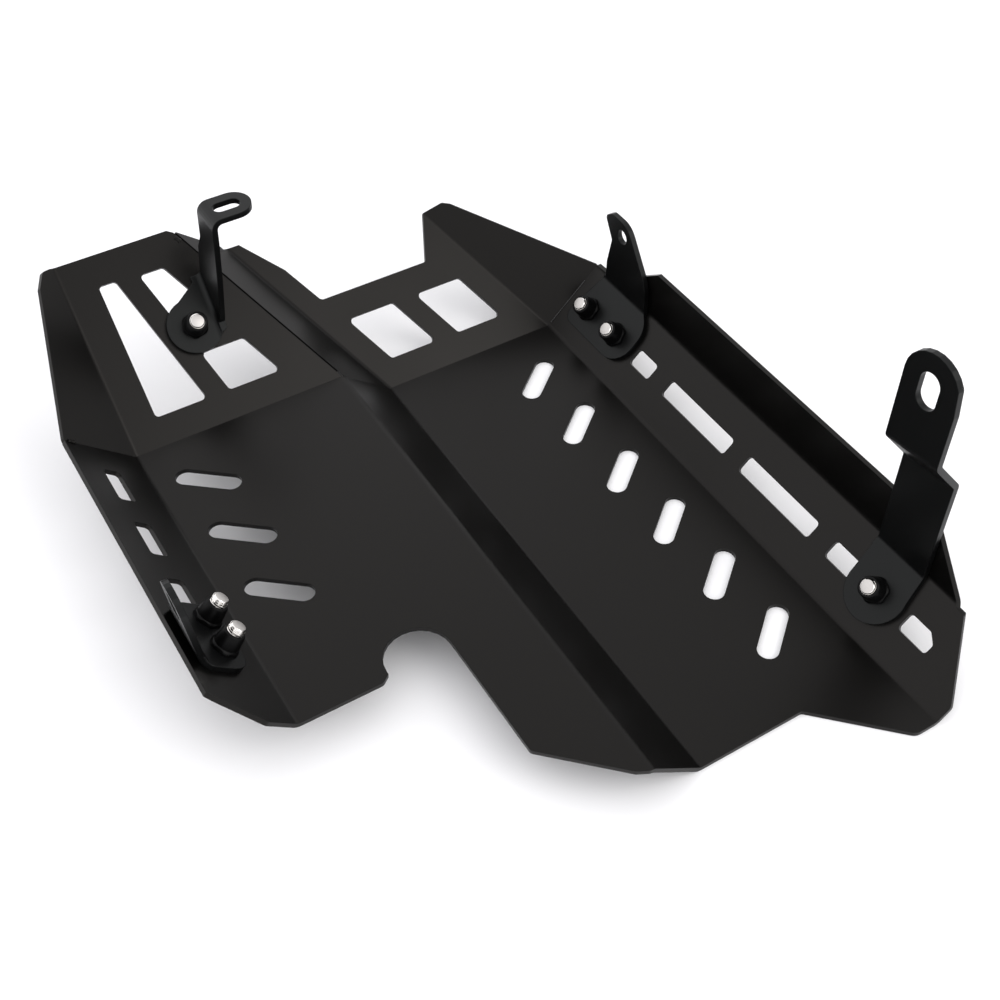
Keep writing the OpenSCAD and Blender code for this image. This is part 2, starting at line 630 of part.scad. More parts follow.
module bracket_front_left() {
    foot_r = 14.6;
    bolt_x = front_left_bolt[0];
    bolt_l = front_left_bolt[1];
    low_z = tab_top - 62;
    color([0.12, 0.12, 0.12]) from_origin() difference() {
        union() {
            intersection() {
                on_left_front() front_left_foot();
                union() {
                    on_left_front() translate([0, 0, -past]) linear_extrude(bracket_t + 2 * past) {
                        translate(front_left_bolt) circle(r = foot_r, $fn = 2 * fine);
                        outline_shape([[bolt_x - 3, bolt_l - foot_r + 0.6, 0],
                                       [front_arm_root + 2, bolt_l - 5.7, 0], [front_arm_root + 2, bolt_l + 23, 0],
                                       [front_arm_root - 6, bolt_l + 23, 3], [bolt_x - 9, bolt_l + foot_r - 4, 2]]);
                    }
                    front_left_arm_sides();
                }
            }
            // arm turned over into the level tab, from a little above the foot's bend
            intersection() {
                on_left_front() translate([-2 * deck_w, -behind, 11]) cube([3 * deck_w, 6 * behind, 3 * behind]);
                along_y(tab_mid + 22, 34)
                    polygon(folded_section([[front_arm_root - tan(front_arm_lean) * (tab_top - low_z), low_z],
                                            [front_arm_root, tab_top], [tab_end, tab_top]],
                                           -bracket_t, 0, bracket_bend_r));
                union() {
                    front_left_arm_sides();
                    translate([front_arm_root + 5, tab_mid, tab_top - bracket_t - past])
                        linear_extrude(bracket_t + 2 * past) {
                            translate([0, -tab_w / 2]) square([tab_end - front_arm_root - 5 - tab_w / 2, tab_w]);
                            translate([tab_end - front_arm_root - 5 - tab_w / 2, 0]) circle(d = tab_w, $fn = 2 * fine);
                        }
                }
            }
        }
        on_left_front() translate([bolt_x, bolt_l, -past])
            cylinder(d = hole_d, h = bracket_t + 2 * past, $fn = fine);
        translate([tab_slot_x, tab_mid, tab_top - bracket_t - past])
            linear_extrude(bracket_t + 2 * past) obround(tab_slot_reach, tab_slot_w);
    }
}

// Fasteners, drawn with the panel's upper face at z = 0
module bolt(proud = bolt_proud) {
    seat = -sheet_t - washer_t;
    tip = bracket_t + nut_h + proud;
    bevel = 0.1 * bolt_d;
    color([0.75, 0.75, 0.76]) difference() {
        union() {
            translate([0, 0, seat]) cylinder(d = bolt_d, h = tip - seat - bevel, $fn = fine);
            translate([0, 0, tip - bevel]) cylinder(d1 = bolt_d, d2 = bolt_d - 2 * bevel, h = bevel, $fn = fine);
            translate([0, 0, seat - head_h]) cylinder(d1 = 0.6 * head_d, d2 = head_d, h = 0.75 * head_h, $fn = fine);
            translate([0, 0, seat - 0.25 * head_h]) cylinder(d = head_d, h = 0.25 * head_h, $fn = fine);
        }
        translate([0, 0, seat - head_h - past]) cylinder(d = 0.72 * bolt_d, h = 0.6 * head_h + past, $fn = 6);
    }
}

module nut() {
    color([0.06, 0.06, 0.06]) translate([0, 0, bracket_t]) difference() {
        union() {
            // low hexagon with its corners chamfered
            intersection() {
                cylinder(d = nut_af / cos(30), h = nut_hex_h, $fn = 6);
                cylinder(d1 = nut_af + 5.6, d2 = nut_af - 0.2, h = nut_hex_h + 0.01, $fn = fine);
            }
            // tall round body
            translate([0, 0, nut_hex_h - 0.01])
                cylinder(d1 = nut_af - 0.5, d2 = nut_af - 2.4, h = nut_h - nut_hex_h + 0.01, $fn = fine);
        }
        translate([0, 0, -past]) cylinder(d = bolt_d + thread_play, h = nut_h + 2 * past, $fn = fine);
    }
}

module washer() {
    color([0.7, 0.7, 0.71]) translate([0, 0, -sheet_t - washer_t]) difference() {
        cylinder(d = washer_od, h = washer_t, $fn = fine);
        translate([0, 0, -past]) cylinder(d = hole_d, h = washer_t + 2 * past, $fn = fine);
    }
}

module at_front_left() { from_origin() on_left_front() translate(front_left_bolt) children(); }
module at_right_wing(y) { from_origin() on_right_wing() translate([wing_line, y, 0]) children(); }
module at_left_wing(y) { from_origin() on_left_wing() translate([-left_bolt_line, y, 0]) children(); }

skid_plate();
bracket_front_left();
bracket_front_right();
bracket_rear_left();
bracket_rear_right();
at_front_left() bolt();  // bolt_front_left
at_right_wing(fin_bolts[0]) bolt();  // bolt_fin_front
at_right_wing(fin_bolts[1]) bolt();  // bolt_fin_rear
at_right_wing(rear_right_bolt) bolt();  // bolt_rear_right
at_left_wing(left_bolts[0]) bolt(left_bolt_proud);  // bolt_left_front
at_left_wing(left_bolts[1]) bolt(left_bolt_proud);  // bolt_left_rear
at_front_left() nut();  // nut_front_left
at_right_wing(fin_bolts[0]) nut();  // nut_fin_front
at_right_wing(fin_bolts[1]) nut();  // nut_fin_rear
at_right_wing(rear_right_bolt) nut();  // nut_rear_right
at_left_wing(left_bolts[0]) nut();  // nut_left_front
at_left_wing(left_bolts[1]) nut();  // nut_left_rear
at_front_left() washer();  // washer_front_left
at_right_wing(fin_bolts[0]) washer();  // washer_fin_front
at_right_wing(fin_bolts[1]) washer();  // washer_fin_rear
at_right_wing(rear_right_bolt) washer();  // washer_rear_right
at_left_wing(left_bolts[0]) washer();  // washer_left_front
at_left_wing(left_bolts[1]) washer();  // washer_left_rear
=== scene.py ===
import math

import bmesh
import bpy
from mathutils import Euler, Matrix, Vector


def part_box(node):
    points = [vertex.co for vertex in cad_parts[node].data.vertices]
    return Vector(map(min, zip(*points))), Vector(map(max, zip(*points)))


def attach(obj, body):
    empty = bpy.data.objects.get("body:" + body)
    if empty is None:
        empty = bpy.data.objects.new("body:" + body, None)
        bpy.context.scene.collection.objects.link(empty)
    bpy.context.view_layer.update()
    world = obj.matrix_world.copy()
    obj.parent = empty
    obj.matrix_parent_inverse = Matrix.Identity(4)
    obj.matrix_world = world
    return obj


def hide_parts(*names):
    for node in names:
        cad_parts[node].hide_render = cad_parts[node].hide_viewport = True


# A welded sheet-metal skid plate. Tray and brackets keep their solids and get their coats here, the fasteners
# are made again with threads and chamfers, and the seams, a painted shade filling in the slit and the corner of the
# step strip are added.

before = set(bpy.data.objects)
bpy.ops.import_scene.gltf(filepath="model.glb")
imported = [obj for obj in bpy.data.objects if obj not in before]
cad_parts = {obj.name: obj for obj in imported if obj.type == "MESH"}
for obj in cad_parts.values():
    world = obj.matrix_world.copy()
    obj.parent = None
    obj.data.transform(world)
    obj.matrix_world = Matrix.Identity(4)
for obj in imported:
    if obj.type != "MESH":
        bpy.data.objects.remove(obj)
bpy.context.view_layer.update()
mm = 0.001


# Small helpers for node trees

def setInputs(tree, node, inputs):
    # Links a socket, or writes a plain value
    for name, value in (inputs or {}).items():
        if isinstance(value, bpy.types.NodeSocket):
            tree.links.new(value, node.inputs[name])
        else:
            node.inputs[name].default_value = value
    return node


def addNode(tree, kind, inputs=None, **settings):
    node = tree.nodes.new(kind)
    for name, value in settings.items():
        setattr(node, name, value)
    return setInputs(tree, node, inputs)


def mathNode(tree, operation, a, b=0.0):
    return addNode(tree, "ShaderNodeMath", {0: a, 1: b}, operation=operation).outputs[0]


def remap(tree, value, low, high, toLow, toHigh):
    # The span low to high becomes toLow to toHigh, clamped at both ends
    return addNode(tree, "ShaderNodeMapRange", {0: value, 1: low, 2: high, 3: toLow, 4: toHigh}).outputs[0]


def newTree(name, kind, inputs, outputs):
    tree = bpy.data.node_groups.new(name, kind)
    for label, socketType, value in inputs:
        socket = tree.interface.new_socket(label, in_out="INPUT", socket_type="NodeSocket" + socketType)
        if value is not None:
            socket.default_value = value
    for label, socketType in outputs:
        tree.interface.new_socket(label, in_out="OUTPUT", socket_type="NodeSocket" + socketType)
    return tree, tree.nodes.new("NodeGroupInput").outputs, tree.nodes.new("NodeGroupOutput").inputs


def useGroup(tree, group, inputs=None):
    kind = "GeometryNodeGroup" if tree.bl_idname == "GeometryNodeTree" else "ShaderNodeGroup"
    node = tree.nodes.new(kind)
    node.node_tree = group
    return setInputs(tree, node, inputs)


# Shader groups shared by the materials

toneLow, toneHigh = 0.86, 1.14  # how far the coat's tone drifts


def makeCoatGrain():
    # Fine leather-like grain of baked powder: a normal, a slow drift of tone and sparse dust
    tree, given, made = newTree(
        "coatGrain", "ShaderNodeTree",
        [("Grain Size", "Float", 0.7 * mm), ("Grain Depth", "Float", 0.25), ("Drift Scale", "Float", 11.0),
         ("Mote Scale", "Float", 260.0), ("Veil Scale", "Float", 45.0), ("Normal", "Vector", None)],
        [("Normal", "Vector"), ("Tone", "Float"), ("Dust", "Float")])
    where = addNode(tree, "ShaderNodeTexCoord").outputs["Object"]
    perMetre = mathNode(tree, "DIVIDE", 1.0, given["Grain Size"])
    pebbles = addNode(tree, "ShaderNodeTexNoise",
                      {"Vector": where, "Scale": perMetre, "Detail": 3.0, "Roughness": 0.6})
    bump = addNode(tree, "ShaderNodeBump", {"Height": pebbles.outputs[0], "Strength": given["Grain Depth"],
                                            "Distance": 0.06 * mm, "Normal": given["Normal"]})
    drift = addNode(tree, "ShaderNodeTexNoise",
                    {"Vector": where, "Scale": given["Drift Scale"], "Detail": 2.0, "Roughness": 0.45})
    motes = addNode(tree, "ShaderNodeTexVoronoi",
                    {"Vector": where, "Scale": given["Mote Scale"], "Randomness": 1.0})
    veil = addNode(tree, "ShaderNodeTexNoise", {"Vector": where, "Scale": given["Veil Scale"], "Detail": 4.0})
    dots = remap(tree, motes.outputs["Distance"], 0.02, 0.07, 1.0, 0.0)
    patches = remap(tree, veil.outputs[0], 0.6, 0.68, 0.0, 1.0)
    tree.links.new(bump.outputs[0], made["Normal"])
    tree.links.new(remap(tree, drift.outputs[0], 0.3, 0.7, toneLow, toneHigh), made["Tone"])
    tree.links.new(mathNode(tree, "MULTIPLY", dots, patches), made["Dust"])
    return tree


def makeEdgeHighlight():
    # Cut edges: a rounded normal, and a mask for a painted highlight that is 1 on the edge and breaks up along it
    tree, given, made = newTree(
        "edgeHighlight", "ShaderNodeTree",
        [("Radius", "Float", 0.5 * mm), ("Highlight Strength", "Float", 0.5), ("Breakup Scale", "Float", 190.0)],
        [("Normal", "Vector"), ("Mask", "Float")])
    bevel = addNode(tree, "ShaderNodeBevel", {"Radius": given["Radius"]}, samples=6)
    flat = addNode(tree, "ShaderNodeNewGeometry")
    same = addNode(tree, "ShaderNodeVectorMath", {0: bevel.outputs[0], 1: flat.outputs["Normal"]},
                   operation="DOT_PRODUCT")
    edge = remap(tree, same.outputs["Value"], 0.97, 0.75, 0.0, 1.0)  # 1 where the two normals part
    where = addNode(tree, "ShaderNodeTexCoord").outputs["Object"]
    breakupNoise = addNode(tree, "ShaderNodeTexNoise", {"Vector": where, "Scale": given["Breakup Scale"], "Detail": 4.0})
    brokenUp = remap(tree, breakupNoise.outputs[0], 0.35, 0.6, 0.35, 1.0)
    edgeLit = mathNode(tree, "MULTIPLY", edge, brokenUp)
    tree.links.new(bevel.outputs[0], made["Normal"])
    tree.links.new(mathNode(tree, "MULTIPLY", edgeLit, given["Highlight Strength"]), made["Mask"])
    return tree


def makeTurnedMetal():
    # Fine turned marks, and smears where the polish is weaker
    tree, given, made = newTree(
        "turnedMetal", "ShaderNodeTree",
        [("Mark Depth", "Float", 0.2), ("Mark Scale", "Float", 5200.0), ("Smear Scale", "Float", 420.0)],
        [("Normal", "Vector"), ("Smear", "Float")])
    where = addNode(tree, "ShaderNodeTexCoord").outputs["Object"]
    marks = addNode(tree, "ShaderNodeTexNoise", {"Vector": where, "Scale": given["Mark Scale"], "Detail": 2.0})
    bump = addNode(tree, "ShaderNodeBump", {"Height": marks.outputs[0], "Strength": given["Mark Depth"],
                                            "Distance": 0.02 * mm})
    smears = addNode(tree, "ShaderNodeTexNoise", {"Vector": where, "Scale": given["Smear Scale"], "Detail": 3.0})
    tree.links.new(bump.outputs[0], made["Normal"])
    tree.links.new(remap(tree, smears.outputs[0], 0.3, 0.7, 0.0, 1.0), made["Smear"])
    return tree


coatGrain = makeCoatGrain()
edgeHighlight = makeEdgeHighlight()
turnedMetal = makeTurnedMetal()
print("shader groups made")


# Materials

def newMaterial(name):
    material = bpy.data.materials.new(name)
    material.use_nodes = True
    tree = material.node_tree
    tree.nodes.clear()
    shader = tree.nodes.new("ShaderNodeBsdfPrincipled")
    out = tree.nodes.new("ShaderNodeOutputMaterial")
    tree.links.new(shader.outputs[0], out.inputs["Surface"])
    return material, tree, shader


def mixColor(tree, factor, a, b):
    a, b = [color if isinstance(color, bpy.types.NodeSocket) else (*color, 1.0) for color in (a, b)]
    return addNode(tree, "ShaderNodeMix", {0: factor, 6: a, 7: b}, data_type="RGBA").outputs[2]


def coatMaterial(name, look):
    # Powder coat: body colour, dust over it, then the painted highlight on the edges
    material, tree, shader = newMaterial(name)
    edge = useGroup(tree, edgeHighlight, {"Radius": look["edgeRadius"], "Highlight Strength": look["highlightStrength"]})
    grain = useGroup(tree, coatGrain, {"Grain Size": look["grainSize"], "Grain Depth": look["grainDepth"],
                                       "Normal": edge.outputs["Normal"]})
    tone = grain.outputs["Tone"]
    body = mixColor(tree, tone, (0.0, 0.0, 0.0), look["color"])
    dust = mathNode(tree, "MULTIPLY", grain.outputs["Dust"], look["dust"])
    dusty = mixColor(tree, dust, body, look["dustColor"])
    edgeLit = mixColor(tree, edge.outputs["Mask"], dusty, look["edgeHighlightColor"])
    gloss = remap(tree, tone, toneLow, toneHigh, look["roughness"] + 0.03, look["roughness"] - 0.03)
    tree.links.new(edgeLit, shader.inputs["Base Color"])
    tree.links.new(gloss, shader.inputs["Roughness"])
    tree.links.new(grain.outputs["Normal"], shader.inputs["Normal"])
    shader.inputs["Specular IOR Level"].default_value = look["specular"]
    shader.inputs["Specular Tint"].default_value = (*look["tint"], 1.0)
    return material


# Satin black of the welded tray
plateCoatLook = {
    "color": (0.0014, 0.0013, 0.0012),
    "roughness": 0.33,
    "specular": 0.21,
    "tint": (1.0, 0.96, 0.92),
    "grainSize": 0.75 * mm,
    "grainDepth": 0.22,
    "edgeRadius": 0.55 * mm,
    # painted highlight along the cut edges, tinted cool blue as a painted reflection
    "edgeHighlightColor": (0.003, 0.0052, 0.0056),
    "highlightStrength": 0.6,
    "dust": 0.5,
    "dustColor": (0.012, 0.012, 0.011),
}
# The brackets' own batch of powder, a little cooler and smoother
bracketCoatLook = {
    "color": (0.0022, 0.0023, 0.0024),
    "roughness": 0.36,
    "specular": 0.205,
    "tint": (0.97, 1.0, 0.99),
    "grainSize": 0.6 * mm,
    "grainDepth": 0.18,
    "edgeRadius": 0.6 * mm,
    # painted highlight along the cut edges, a little green
    "edgeHighlightColor": (0.0045, 0.0058, 0.0058),
    "highlightStrength": 0.7,
    "dust": 0.3,
    "dustColor": (0.012, 0.012, 0.012),
}
# Coat over a proud weld bead: glossy so that it catches light, with sparse light specks and a painted highlight along
# its edges
weldCoatLook = {
    "color": (0.008, 0.008, 0.008),
    "roughness": 0.3,
    "specular": 0.8,
    "tint": (1.0, 1.0, 1.0),
    "grainSize": 0.45 * mm,
    "grainDepth": 0.5,
    "edgeRadius": 0.2 * mm,
    "edgeHighlightColor": (0.05, 0.05, 0.05),
    "highlightStrength": 0.3,
    "dust": 1.0,
    "dustColor": (0.3, 0.29, 0.27),
}
# Painted shade: a near-black filling put in the slit to stand for the shade where no light gets in
slitShadeLook = {
    "color": (0.0006, 0.0006, 0.0006),
    "roughness": 0.6,
    "specular": 0.03,
    "tint": (1.0, 1.0, 1.0),
    "grainSize": 0.5 * mm,
    "grainDepth": 0.3,
    "edgeRadius": 0.2 * mm,
    "edgeHighlightColor": (0.002, 0.002, 0.002),
    "highlightStrength": 0.2,
    "dust": 0.2,
    "dustColor": (0.004, 0.004, 0.004),
}
# Black oxide of the nuts, with a painted highlight along their edges
nutLook = {
    "color": (0.0015, 0.0015, 0.0016),
    "roughness": 0.4,
    "specular": 0.12,
    "tint": (1.0, 1.0, 1.0),
    "grainSize": 0.35 * mm,
    "grainDepth": 0.12,
    "edgeRadius": 0.35 * mm,
    "edgeHighlightColor": (0.02, 0.02, 0.02),
    "highlightStrength": 0.6,
    "dust": 0.2,
    "dustColor": (0.012, 0.012, 0.012),
}
# Bright bolts and washers; the sheared flat at a bolt's end is matt
stainlessLook = {
    "color": (0.86, 0.84, 0.81),
    "roughness": 0.12,
    "smearColor": (0.78, 0.76, 0.73),
    "smearRoughness": 0.2,
    "shearedColor": (0.58, 0.56, 0.54),
    "shearedRoughness": 0.5,
    "markDepth": 0.06,
}


def stainlessMaterial(look):
    material, tree, shader = newMaterial("stainless")
    turned = useGroup(tree, turnedMetal, {"Mark Depth": look["markDepth"]})
    smear = turned.outputs["Smear"]
    sheared = addNode(tree, "ShaderNodeAttribute", attribute_name="sheared").outputs["Fac"]
    bright = mixColor(tree, smear, look["color"], look["smearColor"])
    polish = remap(tree, smear, 0.0, 1.0, look["roughness"], look["smearRoughness"])
    matt = remap(tree, sheared, 0.0, 1.0, polish, look["shearedRoughness"])
    tree.links.new(mixColor(tree, sheared, bright, look["shearedColor"]), shader.inputs["Base Color"])
    tree.links.new(matt, shader.inputs["Roughness"])
    tree.links.new(turned.outputs["Normal"], shader.inputs["Normal"])
    shader.inputs["Metallic"].default_value = 1.0
    return material


plateCoat = coatMaterial("plate_coat", plateCoatLook)
bracketCoat = coatMaterial("bracket_coat", bracketCoatLook)
weldCoat = coatMaterial("weld_coat", weldCoatLook)
slitShade = coatMaterial("slit_painted_shade", slitShadeLook)
nutBlack = coatMaterial("nut_black", nutLook)
stainless = stainlessMaterial(stainlessLook)
print("materials made")


# Geometry trees for the pieces that repeat or follow a path

mergeGap = 0.0005 * mm  # points of a turned shape nearer than this are one
roundSteps = 72  # flats round a turned shape
placing = [("Place", "Vector", None), ("Turn", "Vector", None), ("Material", "Material", None)]


def makeLathe():
    # Turns a profile, a row of points (radius, 0, height), round the Z axis
    tree, given, made = newTree(
        "lathe", "GeometryNodeTree",
        [("Profile", "Object", None), ("Segments", "Int", roundSteps)], [("Geometry", "Geometry")])
    profile = addNode(tree, "GeometryNodeObjectInfo", {"Object": given["Profile"]}).outputs["Geometry"]
    count = addNode(tree, "GeometryNodeAttributeDomainSize", {"Geometry": profile}, component="MESH")
    columns = mathNode(tree, "ADD", given["Segments"], 1.0)
    grid = addNode(tree, "GeometryNodeMeshGrid", {"Vertices X": count.outputs["Point Count"], "Vertices Y": columns})
    index = addNode(tree, "GeometryNodeInputIndex").outputs[0]
    row = mathNode(tree, "FLOOR", mathNode(tree, "DIVIDE", mathNode(tree, "ADD", index, 0.5), columns))
    column = mathNode(tree, "SUBTRACT", index, mathNode(tree, "MULTIPLY", row, columns))
    angle = mathNode(tree, "MULTIPLY", mathNode(tree, "DIVIDE", column, given["Segments"]), math.tau)
    point = addNode(tree, "GeometryNodeSampleIndex", {"Geometry": profile, "Index": row},
                    data_type="FLOAT_VECTOR", domain="POINT")
    tree.links.new(addNode(tree, "GeometryNodeInputPosition").outputs[0], point.inputs["Value"])
    parts = addNode(tree, "ShaderNodeSeparateXYZ", {0: point.outputs[0]}).outputs
    x = mathNode(tree, "MULTIPLY", parts["X"], mathNode(tree, "COSINE", angle))
    y = mathNode(tree, "MULTIPLY", parts["X"], mathNode(tree, "SINE", angle))
    place = addNode(tree, "ShaderNodeCombineXYZ", {"X": x, "Y": y, "Z": parts["Z"]})
    turned = addNode(tree, "GeometryNodeSetPosition",
                     {"Geometry": grid.outputs["Mesh"], "Position": place.outputs[0]})
    whole = addNode(tree, "GeometryNodeMergeByDistance", {"Geometry": turned.outputs[0], "Distance": mergeGap})
    tree.links.new(whole.outputs[0], made["Geometry"])
    return tree


lathe = makeLathe()


def turnProfile(tree, profile):
    return useGroup(tree, lathe, {"Profile": profile, "Segments": roundSteps}).outputs[0]


def finishTree(tree, given, made, geometry):
    # Puts the made geometry in place, then realizes it and sets its material
    turn = addNode(tree, "FunctionNodeEulerToRotation", {0: given["Turn"]})
    put = addNode(tree, "GeometryNodeTransform", {"Geometry": geometry, "Translation": given["Place"],
                                                  "Rotation": turn.outputs[0]})
    real = addNode(tree, "GeometryNodeRealizeInstances", {"Geometry": put.outputs[0]})
    painted = addNode(tree, "GeometryNodeSetMaterial", {"Geometry": real.outputs[0], "Material": given["Material"]})
    tree.links.new(painted.outputs[0], made["Geometry"])


def joinTwo(tree, a, b):
    both = tree.nodes.new("GeometryNodeJoinGeometry")
    tree.links.new(a, both.inputs[0])
    tree.links.new(b, both.inputs[0])
    return both.outputs[0]


def makeWasherTree():
    tree, given, made = newTree("washerTree", "GeometryNodeTree",
                                [("Profile", "Object", None)] + placing, [("Geometry", "Geometry")])
    finishTree(tree, given, made, turnProfile(tree, given["Profile"]))
    return tree


def makeBoltTree():
    # A turned shank and head with a thread wound on the end that shows
    tree, given, made = newTree(
        "boltTree", "GeometryNodeTree",
        [("Profile", "Object", None), ("Thread Radius", "Float", 4 * mm), ("Pitch", "Float", 1.25 * mm),
         ("Thread Start", "Float", 0.0), ("Thread Length", "Float", 4 * mm), ("Thread Depth", "Float", 0.4 * mm),
         ("Tip Height", "Float", 14 * mm)]
        + placing, [("Geometry", "Geometry")])
    # the flat at the tip is marked, for the material
    height = addNode(tree, "ShaderNodeSeparateXYZ", {0: addNode(tree, "GeometryNodeInputPosition").outputs[0]})
    flat = mathNode(tree, "GREATER_THAN", height.outputs["Z"],
                    mathNode(tree, "SUBTRACT", given["Tip Height"], 0.02 * mm))
    body = addNode(tree, "GeometryNodeStoreNamedAttribute",
                   {"Geometry": turnProfile(tree, given["Profile"]), "Name": "sheared", "Value": flat},
                   data_type="FLOAT", domain="POINT")
    # the thread is a six-sided wire on a spiral, most of it sunk into the shank
    turns = mathNode(tree, "DIVIDE", given["Thread Length"], given["Pitch"])
    ridge = mathNode(tree, "SUBTRACT", given["Thread Radius"], mathNode(tree, "MULTIPLY", given["Thread Depth"], 0.8))
    spiral = addNode(tree, "GeometryNodeCurveSpiral",
                     {"Resolution": 40, "Rotations": turns, "Start Radius": ridge, "End Radius": ridge,
                      "Height": given["Thread Length"], "Reverse": False})
    wire = addNode(tree, "GeometryNodeCurvePrimitiveCircle",
                   {"Resolution": 6, "Radius": mathNode(tree, "MULTIPLY", given["Thread Depth"], 0.95)},
                   mode="RADIUS")
    thread = addNode(tree, "GeometryNodeCurveToMesh",
                     {"Curve": spiral.outputs[0], "Profile Curve": wire.outputs[0], "Fill Caps": True})
    start = addNode(tree, "ShaderNodeCombineXYZ", {"Z": given["Thread Start"]})
    raised = addNode(tree, "GeometryNodeTransform", {"Geometry": thread.outputs[0], "Translation": start.outputs[0]})
    finishTree(tree, given, made, joinTwo(tree, body.outputs[0], raised.outputs[0]))
    return tree


def makeNutTree():
    # A hexagon with turned corners, its round collar above it, and the hole through both
    tree, given, made = newTree(
        "nutTree", "GeometryNodeTree",
        [("Chamfer Profile", "Object", None), ("Collar Profile", "Object", None),
         ("Across Flats", "Float", 13 * mm), ("Hex Height", "Float", 3.4 * mm), ("Hole Radius", "Float", 4 * mm)]
        + placing, [("Geometry", "Geometry")])
    radius = mathNode(tree, "DIVIDE", given["Across Flats"], math.sqrt(3))
    hexagon = addNode(tree, "GeometryNodeMeshCylinder",
                      {"Vertices": 6, "Radius": radius, "Depth": given["Hex Height"]})
    half = mathNode(tree, "MULTIPLY", given["Hex Height"], 0.5)
    up = addNode(tree, "ShaderNodeCombineXYZ", {"Z": half})
    block = addNode(tree, "GeometryNodeTransform", {"Geometry": hexagon.outputs["Mesh"], "Translation": up.outputs[0]})
    cornered = addNode(tree, "GeometryNodeMeshBoolean", operation="INTERSECT", solver="EXACT")
    tree.links.new(block.outputs[0], cornered.inputs["Mesh 2"])
    tree.links.new(turnProfile(tree, given["Chamfer Profile"]), cornered.inputs["Mesh 2"])
    drill = addNode(tree, "GeometryNodeMeshCylinder",
                    {"Vertices": 64, "Radius": given["Hole Radius"], "Depth": 40 * mm})
    drilled = addNode(tree, "GeometryNodeMeshBoolean", {"Mesh 1": cornered.outputs[0]},
                      operation="DIFFERENCE", solver="EXACT")
    tree.links.new(drill.outputs["Mesh"], drilled.inputs["Mesh 2"])
    collar = turnProfile(tree, given["Collar Profile"])
    finishTree(tree, given, made, joinTwo(tree, drilled.outputs[0], collar))
    return tree


def makeBeadTree():
    # A weld bead along a path: overlapping ripples, uneven width and a lumpy skin
    tree, given, made = newTree(
        "beadTree", "GeometryNodeTree",
        [("Path", "Object", None), ("Bead Radius", "Float", 1.2 * mm), ("Ripple Pitch", "Float", 1.1 * mm),
         ("Ripple Depth", "Float", 0.16), ("Lumps", "Float", 0.25), ("Seed", "Float", 1.0)]
        + placing, [("Geometry", "Geometry")])
    path = addNode(tree, "GeometryNodeObjectInfo", {"Object": given["Path"]}).outputs["Geometry"]
    line = addNode(tree, "GeometryNodeMeshToCurve", {"Mesh": path})
    fine = addNode(tree, "GeometryNodeResampleCurve", {"Curve": line.outputs[0], "Length": 0.16 * mm}, mode="LENGTH")
    along = addNode(tree, "GeometryNodeSplineParameter").outputs["Length"]
    phase = mathNode(tree, "MULTIPLY", mathNode(tree, "DIVIDE", along, given["Ripple Pitch"]), math.tau)
    ripple = mathNode(tree, "MULTIPLY", mathNode(tree, "SINE", phase), given["Ripple Depth"])
    drift = addNode(tree, "ShaderNodeTexNoise", {"W": given["Seed"], "Scale": 300.0, "Detail": 2.0},
                    noise_dimensions="4D")
    swell = mathNode(tree, "MULTIPLY", mathNode(tree, "SUBTRACT", drift.outputs[0], 0.5), given["Lumps"])
    share = mathNode(tree, "ADD", mathNode(tree, "ADD", ripple, swell), 1.0)
    radius = mathNode(tree, "MULTIPLY", share, given["Bead Radius"])
    sized = addNode(tree, "GeometryNodeSetCurveRadius", {"Curve": fine.outputs[0], "Radius": radius})
    section = addNode(tree, "GeometryNodeCurvePrimitiveCircle", {"Resolution": 20, "Radius": 1.0}, mode="RADIUS")
    tube = addNode(tree, "GeometryNodeCurveToMesh",
                   {"Curve": sized.outputs[0], "Profile Curve": section.outputs[0], "Fill Caps": True})
    tree.links.new(addNode(tree, "GeometryNodeInputRadius").outputs[0], tube.inputs["Scale"])
    finishTree(tree, given, made, tube.outputs[0])
    return tree


washerTree = makeWasherTree()
boltTree = makeBoltTree()
nutTree = makeNutTree()
beadTree = makeBeadTree()
print("geometry trees made")


# From a tree to a finished piece

def pointRow(name, points):
    # A row of points joined by edges, for a tree to turn or to follow
    mesh = bpy.data.meshes.new(name)
    mesh.from_pydata([Vector(p) for p in points], [(i, i + 1) for i in range(len(points) - 1)], [])
    return bpy.data.objects.new(name, mesh)


def turnedProfile(name, points):
    return pointRow(name, [(radius, 0.0, height) for radius, height in points])


def addObject(name, data):
    made = bpy.data.objects.new(name, data)
    bpy.context.scene.collection.objects.link(made)
    return made


def faceOutwards(mesh):
    shape = bmesh.new()
    shape.from_mesh(mesh)
    bmesh.ops.recalc_face_normals(shape, faces=shape.faces)
    shape.to_mesh(mesh)
    shape.free()


def grow(name, tree, values, smoothAngle=35.0):
    # Runs a geometry tree with these inputs and keeps its result as a plain mesh object
    holder = addObject(name + "_holder", bpy.data.meshes.new(name + "_seed"))
    modifier = holder.modifiers.new("nodes", "NODES")
    modifier.node_group = tree
    sockets = {s.name: s.identifier for s in tree.interface.items_tree if s.in_out == "INPUT"}
    for label, value in values.items():
        modifier[sockets[label]] = value
    graph = bpy.context.evaluated_depsgraph_get()
    graph.update()
    mesh = bpy.data.meshes.new_from_object(holder.evaluated_get(graph))
    holder.modifiers.remove(modifier)
    bpy.data.objects.remove(holder)
    for value in values.values():
        if isinstance(value, bpy.types.Object):  # a profile or path that has done its work
            bpy.data.objects.remove(value)
    faceOutwards(mesh)
    mesh.shade_smooth()
    mesh.set_sharp_from_angle(angle=math.radians(smoothAngle))
    return addObject(name, mesh)


def dress(piece, slotName, *nodes):
    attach(piece, "root")
    if nodes:
        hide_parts(*nodes)


# Fasteners

